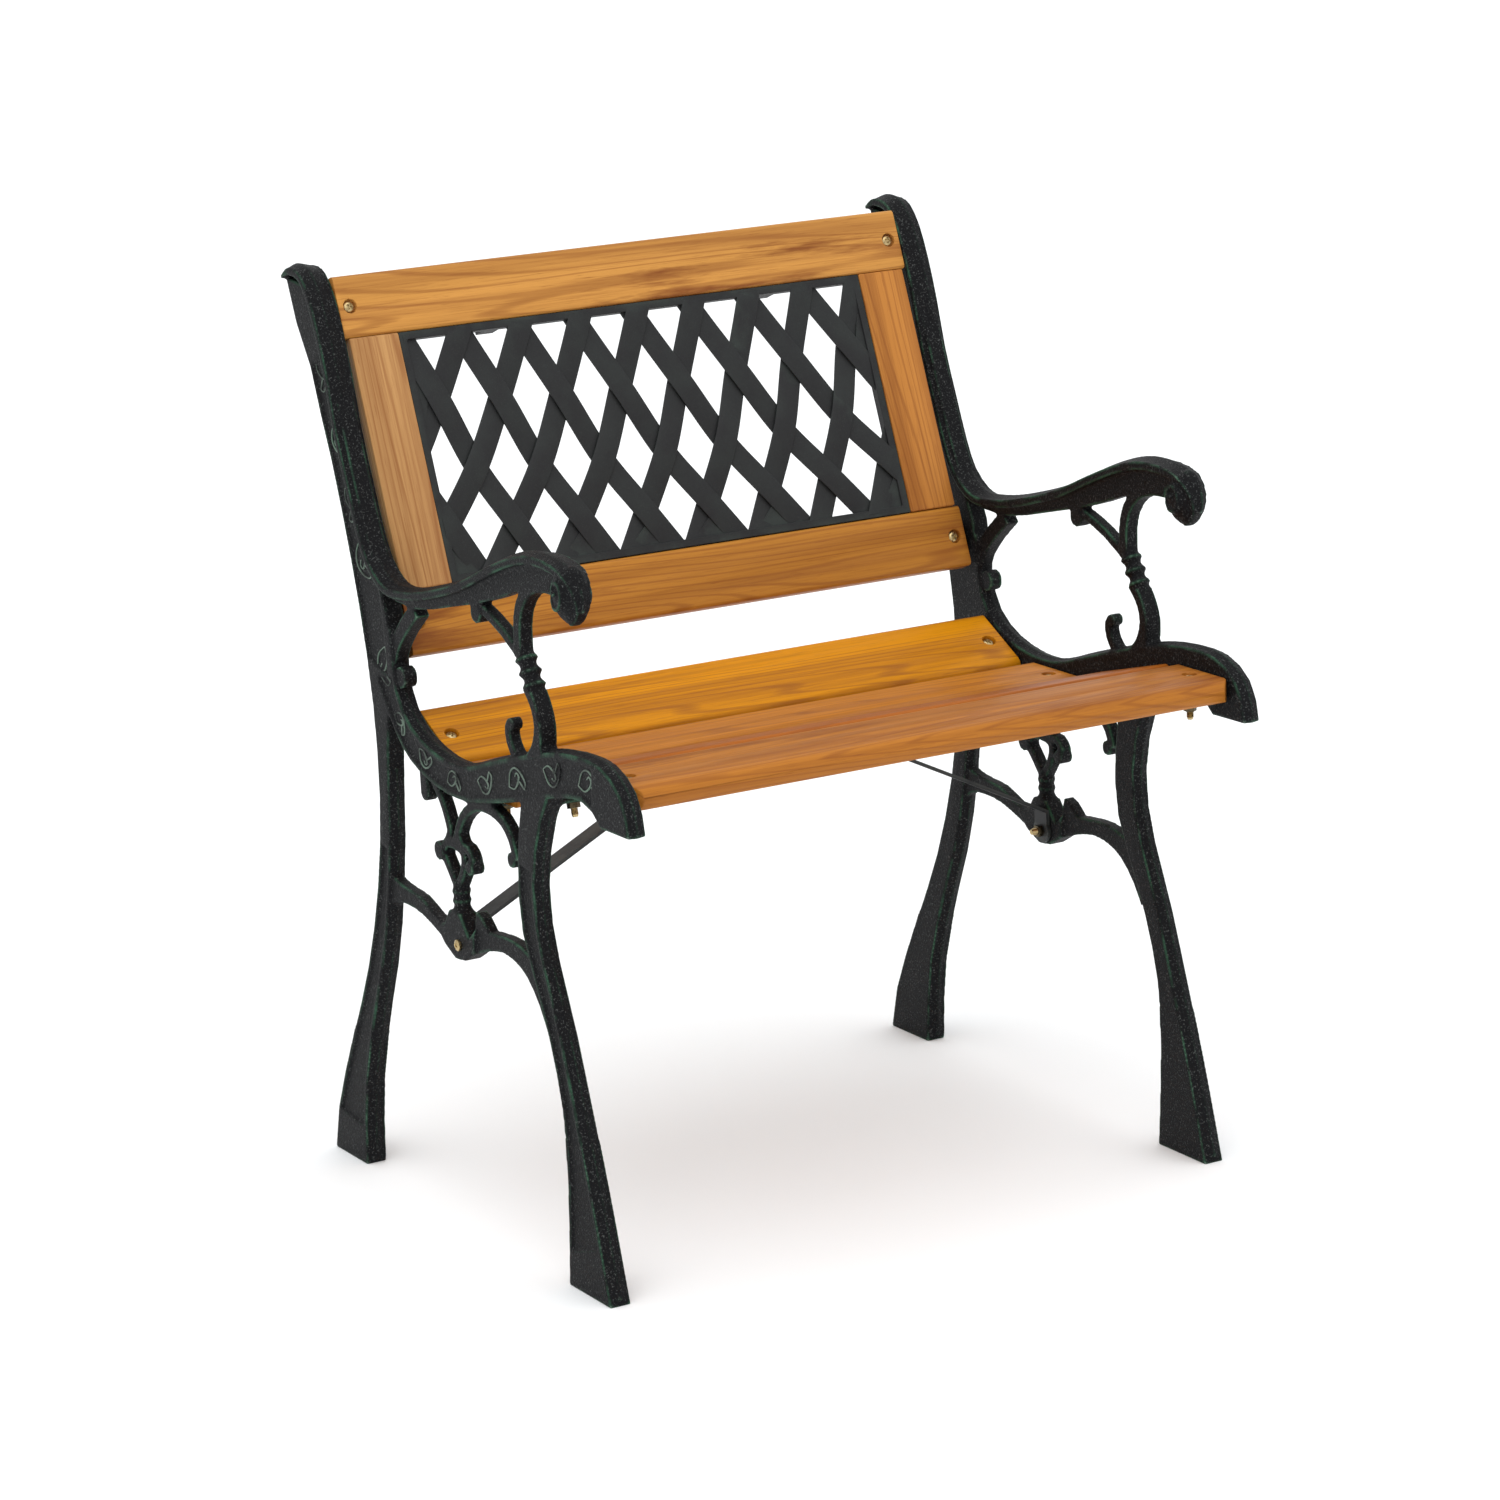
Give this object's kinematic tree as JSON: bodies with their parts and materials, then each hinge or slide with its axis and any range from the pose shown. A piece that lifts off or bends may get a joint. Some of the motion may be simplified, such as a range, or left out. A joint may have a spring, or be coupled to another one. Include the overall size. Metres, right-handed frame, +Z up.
{
  "type": "garden bench",
  "caption": "Small garden bench with scrolled cast end frames and armrests, timber seat slats and a timber back framing a woven-look lattice panel.",
  "frame": {"origin": "centre of the bounding box in plan, on the floor under the feet", "axes": "X along the bench from left to right, -Y is the front, +Z up"},
  "size_m": [0.584, 0.548, 0.7568],
  "materials": {
    "cast_iron": "near-black sand-cast texture with green patina on the edges",
    "timber": "orange-brown stained hardwood, satin varnish",
    "lattice": "matte black casting",
    "strap": "black painted flat steel bar",
    "fasteners": "yellow zinc or brass, slightly worn"
  },
  "bodies": {
    "root": {"back_bottom_rail": "timber", "back_lattice": "lattice", "back_stile_left": "timber", "back_stile_right": "timber", "back_top_rail": "timber", "bolt_back_bottom_left": "fasteners", "bolt_back_bottom_right": "fasteners", "bolt_back_top_left": "fasteners", "bolt_back_top_right": "fasteners", "bolt_brace_left": "fasteners", "bolt_brace_right": "fasteners", "bolt_seat_front_left": "fasteners", "bolt_seat_front_right": "fasteners", "bolt_seat_rear_left": "fasteners", "bolt_seat_rear_right": "fasteners", "bolt_seat_second_left": "fasteners", "bolt_seat_second_right": "fasteners", "bolt_seat_third_left": "fasteners", "bolt_seat_third_right": "fasteners", "brace_strap_left": "strap", "brace_strap_right": "strap", "end_frame_left": "cast_iron", "end_frame_right": "cast_iron", "nut_back_bottom_left": "fasteners", "nut_back_bottom_right": "fasteners", "nut_back_top_left": "fasteners", "nut_back_top_right": "fasteners", "nut_brace_left": "fasteners", "nut_brace_right": "fasteners", "nut_seat_front_left": "fasteners", "nut_seat_front_right": "fasteners", "nut_seat_rear_left": "fasteners", "nut_seat_rear_right": "fasteners", "nut_seat_second_left": "fasteners", "nut_seat_second_right": "fasteners", "nut_seat_third_left": "fasteners", "nut_seat_third_right": "fasteners", "screw_brace_left": "fasteners", "screw_brace_right": "fasteners", "screw_lattice_bottom_left": "fasteners", "screw_lattice_bottom_right": "fasteners", "screw_lattice_top_left": "fasteners", "screw_lattice_top_right": "fasteners", "seat_slat_front": "timber", "seat_slat_rear": "timber", "seat_slat_second": "timber", "seat_slat_third": "timber"}
  },
  "joints": []
}
